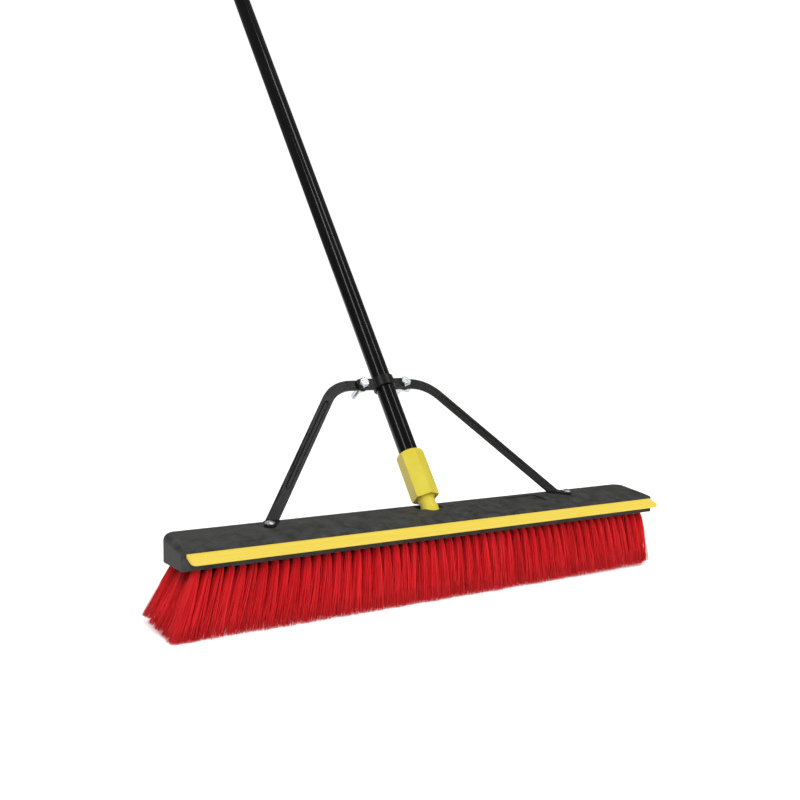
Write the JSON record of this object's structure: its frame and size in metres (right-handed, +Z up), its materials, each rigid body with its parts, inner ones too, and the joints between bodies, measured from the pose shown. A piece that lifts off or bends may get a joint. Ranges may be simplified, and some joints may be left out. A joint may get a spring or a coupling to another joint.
{
  "type": "push broom",
  "caption": "Wide push broom with flared bristles, a squeegee blade along its front, and a screw-in tube handle held by a clamped steel brace.",
  "frame": {"origin": "on the floor, in the plane of the bristle tips, under the middle of the block", "axes": "+X along the block to the user's left when pushing away from the handle's side, +Y to the back, the way the handle leans, +Z up"},
  "size_m": [0.625, 0.9514, 1.3136],
  "materials": {
    "black_plastic": "satin moulded black plastic",
    "yellow_rubber": "matt yellow rubber",
    "red_bristle": "crimped red plastic fibre",
    "black_paint_gloss": "gloss black paint",
    "yellow_plastic": "satin yellow plastic",
    "black_paint_satin": "satin black paint",
    "bright_zinc": "bright zinc plate"
  },
  "bodies": {
    "head": {"block": "black_plastic", "squeegee_blade": "yellow_rubber", "tuft_row_1": "red_bristle", "tuft_row_2": "red_bristle", "tuft_row_3": "red_bristle", "tuft_row_4": "red_bristle", "tuft_row_5": "red_bristle", "brace_bar": "black_paint_satin", "clamp_strap": "black_paint_satin", "clamp_bolt_left": "bright_zinc", "clamp_bolt_right": "bright_zinc", "foot_screw_left": "bright_zinc", "foot_screw_right": "bright_zinc"},
    "handle": {"handle_tube": "black_paint_gloss", "handle_ferrule": "yellow_plastic", "hang_cap": "black_plastic"},
    "washer_left": {"clamp_washer_left": "bright_zinc"},
    "washer_right": {"clamp_washer_right": "bright_zinc"},
    "nut_left": {"wing_nut_left": "bright_zinc"},
    "nut_right": {"wing_nut_right": "bright_zinc"}
  },
  "joints": [
    {"name": "handle_turn", "type": "hinge", "parent": "head", "child": "handle", "pos_m": [0, 0.0139, 0.0915], "axis": [0, 0.5878, 0.809], "range_deg": [0, 1440]},
    {"name": "washer_left_slide", "type": "slide", "parent": "head", "child": "washer_left", "axis": [0, 0.809, -0.5878], "range_m": [0, 0.00763]},
    {"name": "nut_left_turn", "type": "hinge", "parent": "washer_left", "child": "nut_left", "pos_m": [-0.029, 0.10971, 0.22337], "axis": [0, 0.809, -0.5878], "range_deg": [0, 2160]},
    {"name": "washer_right_slide", "type": "slide", "parent": "head", "child": "washer_right", "axis": [0, 0.809, -0.5878], "range_m": [0, 0.00763]},
    {"name": "nut_right_turn", "type": "hinge", "parent": "washer_right", "child": "nut_right", "pos_m": [0.029, 0.10971, 0.22337], "axis": [0, 0.809, -0.5878], "range_deg": [0, 2160]}
  ],
  "couplings": [
    {"joint": "washer_left_slide", "follows": "nut_left_turn", "m_per_rad": 0.00020213},
    {"joint": "washer_right_slide", "follows": "nut_right_turn", "m_per_rad": 0.00020213}
  ]
}
